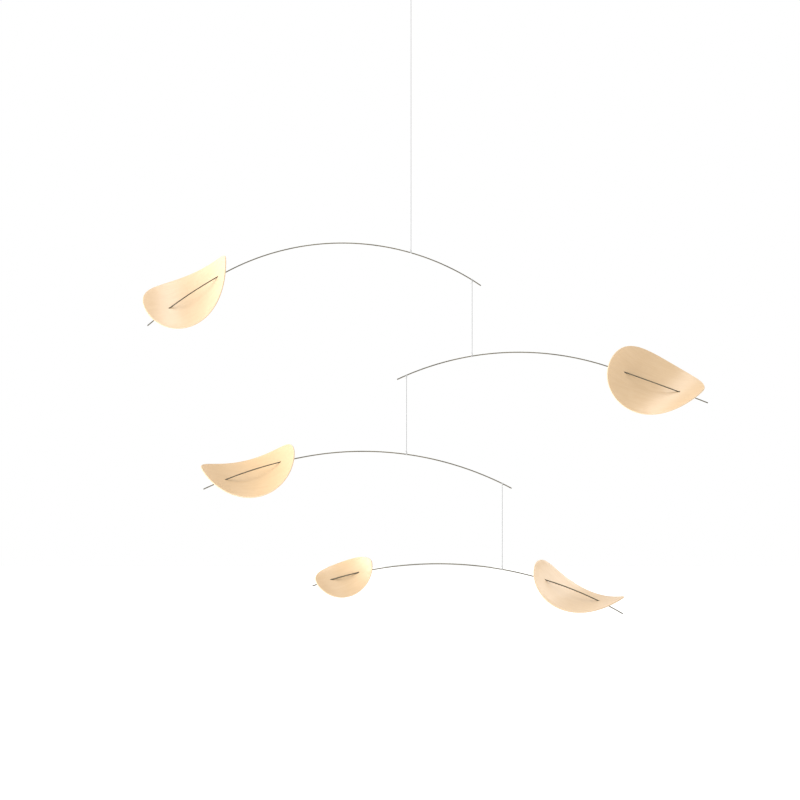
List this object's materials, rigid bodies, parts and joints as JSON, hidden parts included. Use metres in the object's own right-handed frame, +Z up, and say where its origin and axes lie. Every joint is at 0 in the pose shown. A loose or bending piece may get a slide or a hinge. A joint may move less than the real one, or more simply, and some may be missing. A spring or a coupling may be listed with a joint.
{
  "type": "hanging mobile",
  "caption": "Hanging mobile of arched steel wires hung one under another on fine line, with bent wooden leaves threaded on the wires.",
  "frame": {"origin": "the top of the hanging loop, where it rests on its hook", "axes": "+Z up; +X to the right along the wires as the picture shows them, +Y away from the viewer; the hollow sides of the leaves face -Y"},
  "size_m": [0.6987, 0.0852, 0.7906],
  "materials": {
    "steel_wire": "satin",
    "pale_wood": "matte",
    "clear_line": "gloss"
  },
  "bodies": {
    "hanging_line": {"hanging_loop": "clear_line", "line_1": "clear_line"},
    "arm_1": {"tie_1_lower": "clear_line", "wire_1": "steel_wire", "leaf_1": "pale_wood", "tie_2_upper": "clear_line", "line_2": "clear_line"},
    "arm_2": {"tie_2_lower": "clear_line", "wire_2": "steel_wire", "leaf_2": "pale_wood", "tie_3_upper": "clear_line", "line_3": "clear_line"},
    "arm_3": {"tie_3_lower": "clear_line", "wire_3": "steel_wire", "leaf_3": "pale_wood", "tie_4_upper": "clear_line", "line_4": "clear_line"},
    "arm_4": {"tie_4_lower": "clear_line", "wire_4": "steel_wire", "leaf_4": "pale_wood", "leaf_5": "pale_wood"}
  },
  "joints": [
    {"name": "arm_1_swivel", "type": "hinge", "parent": "hanging_line", "child": "arm_1", "pos_m": [0, 0, -0.3435], "axis": [0, 0, 1], "continuous": true},
    {"name": "arm_2_swivel", "type": "hinge", "parent": "arm_1", "child": "arm_2", "pos_m": [0.07551, 0, -0.47105], "axis": [0, 0, 1], "continuous": true},
    {"name": "arm_3_swivel", "type": "hinge", "parent": "arm_2", "child": "arm_3", "pos_m": [-0.0055, 0, -0.59244], "axis": [0, 0, 1], "continuous": true},
    {"name": "arm_4_swivel", "type": "hinge", "parent": "arm_3", "child": "arm_4", "pos_m": [0.11275, 0, -0.73458], "axis": [0, 0, 1], "continuous": true}
  ]
}
